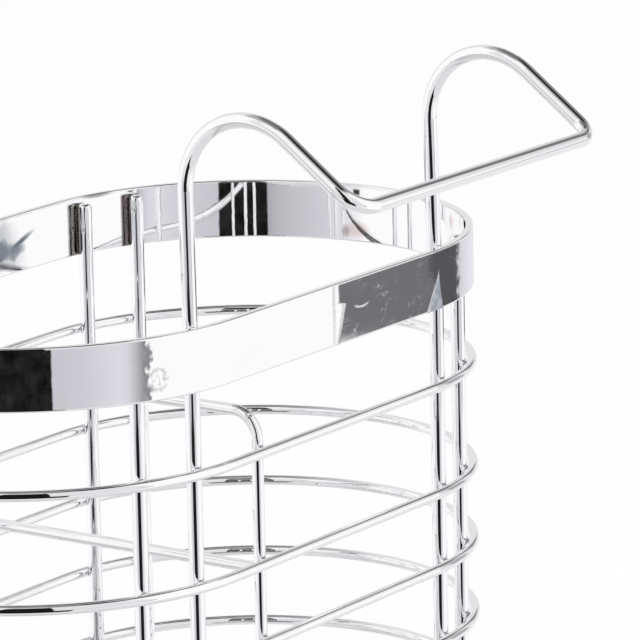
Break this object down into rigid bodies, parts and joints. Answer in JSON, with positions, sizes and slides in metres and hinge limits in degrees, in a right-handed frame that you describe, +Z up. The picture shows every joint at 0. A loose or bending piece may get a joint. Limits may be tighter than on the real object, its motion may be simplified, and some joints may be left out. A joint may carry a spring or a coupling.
{
  "type": "cutlery drainer",
  "caption": "Chrome wire cutlery basket, an oval with a flat bar rim, a hook that hangs it over a rail, and a wire divider.",
  "frame": {"origin": "centre of the basket's oval, on the plane that it stands on", "axes": "+X along the basket, +Z up through its mouth, -Y towards the hook"},
  "size_m": [0.2034, 0.1626, 0.1864],
  "materials": {
    "band_chrome": "polished",
    "hook_chrome": "polished",
    "wire_chrome": "polished"
  },
  "bodies": {
    "root": {"rim_band": "band_chrome", "hook_wire": "hook_chrome", "cross_wire_left": "wire_chrome", "cross_wire_right": "wire_chrome", "divider_arch": "wire_chrome", "divider_bar_upper": "wire_chrome", "divider_bar_lower": "wire_chrome", "ring_1": "wire_chrome", "ring_2": "wire_chrome", "ring_3": "wire_chrome", "ring_4": "wire_chrome", "ring_5": "wire_chrome", "base_ring": "wire_chrome", "base_wire_1": "wire_chrome", "base_wire_2": "wire_chrome", "base_wire_3": "wire_chrome", "base_wire_4": "wire_chrome", "base_wire_5": "wire_chrome", "base_wire_6": "wire_chrome", "base_wire_7": "wire_chrome"}
  },
  "joints": []
}
